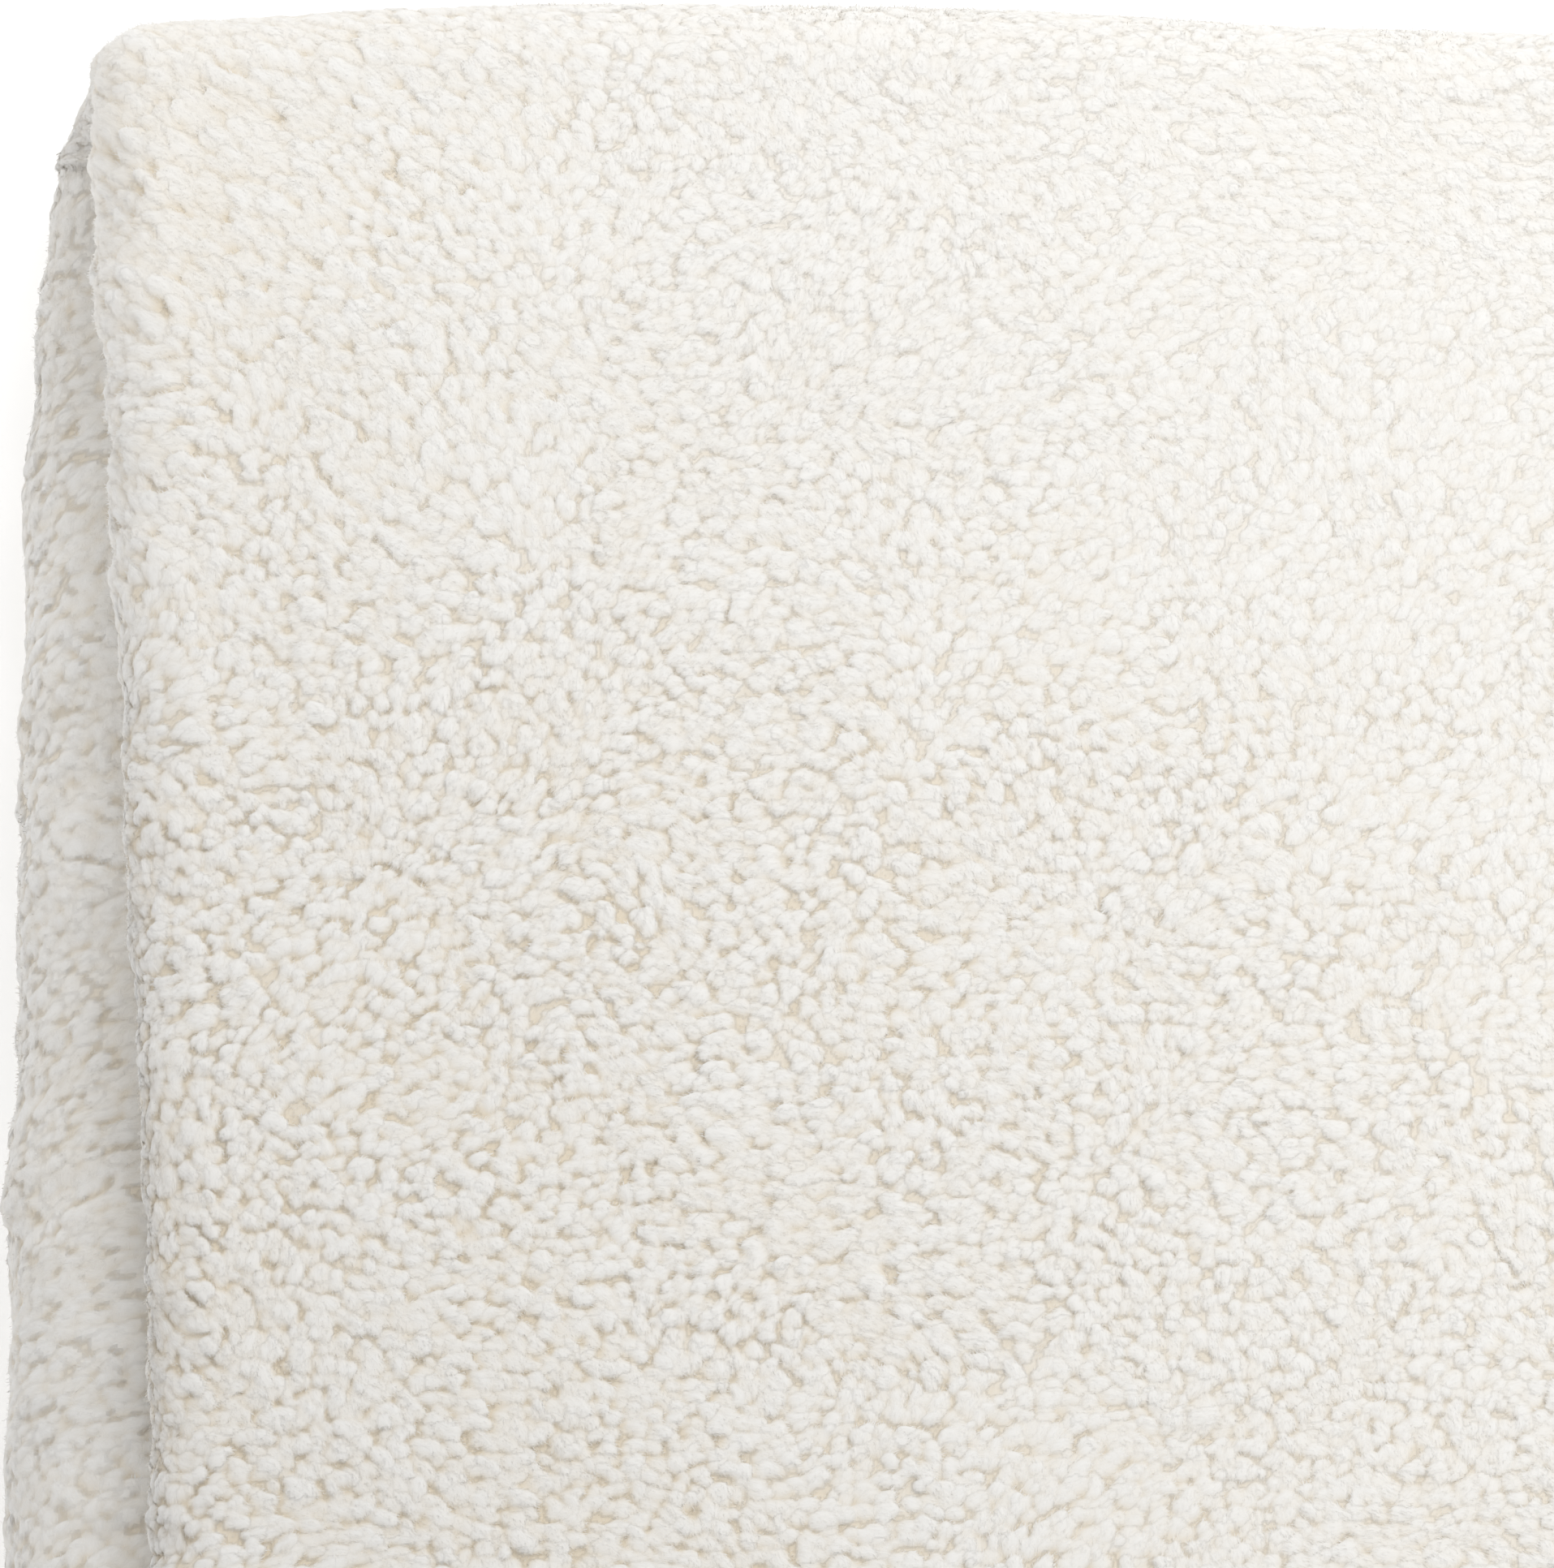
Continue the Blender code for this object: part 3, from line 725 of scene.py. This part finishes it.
# The lower leaf, coarse across its underside and fine over its sides.
RIM_IN, RIM_OUT, END_IN, END_OUT = 0.232, 0.334, 0.400, 0.524
rim = np.arange(RIM_IN, RIM_OUT, PLAIN_STEP)
low_u = np.concatenate((-rim[::-1], np.linspace(-rim[0], rim[0], 150)[1:-1], rim))
low_v = -np.concatenate((np.linspace(FOLD_RUN / 2, END_IN, 410)[:-1],
                         np.linspace(END_IN, END_OUT, 140)))[::-1]
lower = Skin(low_u, low_v)
lower.strips("lower_pile", 4, "lower_leaf")
lower.fibres("lower_pile_fibres", 60000, 1, "lower_leaf", 63, where=np.abs(lower.u) > 0.244)

# Backing cloth, coating, hems, stitching and label.
stations = length_stations(0.010, 0.0009)
cloth, weight = layer("backing_cloth", np.linspace(-HALF_WIDTH, HALF_WIDTH, 51), stations, *CLOTH_Z, CLOTH)
put(cloth, "both")
coated = HALF_WIDTH - 0.001
coating, weight = layer("grip_coating", np.linspace(-coated, coated, 51), stations, *COATING_Z, LATEX)
put(coating, "both")
for hand, side_name in ((-1, "left"), (1, "right")):
    edge = sorted((hand * (HALF_WIDTH + HEM_LIP), hand * (HALF_WIDTH - HEM_WIDTH)))
    tape, weight = layer(f"hem_{side_name}", np.linspace(*edge, 6), stations, *HEM_Z, TAPE)
    put(tape, "both")
cloth_end = LEAF_LENGTH + ARC
between = HALF_WIDTH - HEM_WIDTH - 0.0003  # the end tapes fit between the side ones
for leaf_name, sign in (("lower", -1), ("upper", 1)):
    ends = sorted((sign * (cloth_end + HEM_LIP), sign * (cloth_end - HEM_WIDTH)))
    tape, weight = layer(f"{leaf_name}_end_tape", np.linspace(-between, between, 48),
                         np.linspace(*ends, 6), *HEM_Z, TAPE)
    put(tape, f"{leaf_name}_leaf")

STITCH, STITCH_GAP, STITCH_Z = 0.0030, 0.0008, 0.0008
reach = cloth_end - STITCH_INSET
begin = np.arange(-reach, reach - STITCH, STITCH + STITCH_GAP)
for hand, side_name in ((-1, "left"), (1, "right")):
    row = hand * (HALF_WIDTH - STITCH_INSET)
    starts = np.column_stack((np.full(len(begin), row), begin))
    ends = starts + (0, STITCH)
    obj, weight = stitch_object(f"stitch_{side_name}", starts, ends, STITCH_Z, THREAD)
    put(obj, "both")
clear_of_side = 0.0155
begin = np.arange(-HALF_WIDTH + clear_of_side, HALF_WIDTH - clear_of_side - STITCH, STITCH + STITCH_GAP)
for leaf_name, sign in (("lower", -1), ("upper", 1)):
    starts = np.column_stack((begin, np.full(len(begin), sign * reach)))
    ends = starts + (STITCH, 0)
    obj, weight = stitch_object(f"{leaf_name}_end_stitches", starts, ends, STITCH_Z, THREAD)
    put(obj, f"{leaf_name}_leaf")
LABEL_IN, LABEL_ALONG, LABEL_Z = (0.0186, 0.0486), (0.110, 0.060), (0.0016, 0.0023)
label, weight = layer("care_label_tab",
                      np.linspace(-HALF_WIDTH + LABEL_IN[0], -HALF_WIDTH + LABEL_IN[1], 13),
                      np.linspace(cloth_end - LABEL_ALONG[0], cloth_end - LABEL_ALONG[1], 21),
                      *LABEL_Z, LABEL)
put(label, "upper_leaf")

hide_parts("upper_pile")
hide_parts("lower_pile")
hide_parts("fold_pile")
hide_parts("lower_backing_cloth", "upper_backing_cloth", "fold_backing_cloth")
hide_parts("lower_grip_coating", "upper_grip_coating", "fold_grip_coating")
for side_name in ("left", "right"):
    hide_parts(*(f"{part}_hem_{side_name}" for part in ("lower", "upper", "fold")))
    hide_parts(*(f"{part}_stitch_{side_name}" for part in ("lower", "upper", "fold")))
for leaf_name in ("lower", "upper"):
    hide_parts(f"{leaf_name}_hem_end")
    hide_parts(f"{leaf_name}_stitch_end")
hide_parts("care_label")


# ---------------------------------------------------------------- floor, light, camera

def floor_material():
    material, tree, shader = new_material("studio_floor", roughness=0.8, specular=0.1)
    shader.inputs["Base Color"].default_value = (0.93, 0.93, 0.93, 1.0)
    shader.inputs["Emission Color"].default_value = (1.0, 1.0, 1.0, 1.0)
    shader.inputs["Emission Strength"].default_value = 0.30
    return material


floor = add_mesh("floor", np.array(((-6, -6, 0), (6, -6, 0), (6, 6, 0), (-6, 6, 0.0))),
                 np.array((4,)), np.array((0, 1, 2, 3)), floor_material(), smooth=False)


def area_light(name, place, aim, size, power):
    data = bpy.data.lights.new(name, "AREA")
    data.shape, data.size, data.energy, data.color = "DISK", size, power, LAMP_COLOUR
    lamp = bpy.data.objects.new(name, data)
    bpy.context.scene.collection.objects.link(lamp)
    lamp.location = place
    lamp.visible_camera = False
    lamp.rotation_mode = "QUATERNION"
    lamp.rotation_quaternion = (Vector(aim) - Vector(place)).to_track_quat("-Z", "Y")


LAMP_COLOUR = (1.0, 0.995, 0.98)
area_light("key_side", (0.42, -0.20, 0.63), (0, 0, 0), 0.6, 1.85)
area_light("key_back", (0.05, 0.60, 0.56), (0, 0, 0), 0.6, 2.05)
area_light("fill_corner", (-0.56, 0.32, 0.28), (-0.26, 0.12, 0.03), 0.3, 0.24)

world = bpy.data.worlds.new("studio")
bpy.context.scene.world = world
world.use_nodes = True
world.node_tree.nodes["Background"].inputs["Color"].default_value = (1.0, 1.0, 1.0, 1.0)
world.node_tree.nodes["Background"].inputs["Strength"].default_value = 0.545

bpy.context.scene.view_settings.view_transform = "Standard"

CAMERA_DISTANCE, FRAME_HEIGHT = 6.0, 0.322
AZIMUTH, ELEVATION = math.radians(0.3), math.radians(61)
target = Vector((-0.116, 0.0246, 0.045))
back = Vector((math.sin(AZIMUTH) * math.cos(ELEVATION), -math.cos(AZIMUTH) * math.cos(ELEVATION),
               math.sin(ELEVATION)))
camera_data = bpy.data.cameras.new("camera")
camera_data.sensor_width = 36.0
camera_data.lens = 36.0 * CAMERA_DISTANCE / FRAME_HEIGHT
camera_data.clip_start, camera_data.clip_end = 0.1, 60.0
camera = bpy.data.objects.new("camera", camera_data)
bpy.context.scene.collection.objects.link(camera)
camera.location = target + back * CAMERA_DISTANCE
camera.rotation_mode = "QUATERNION"
camera.rotation_quaternion = (-back).to_track_quat("-Z", "Y")
bpy.context.scene.camera = camera
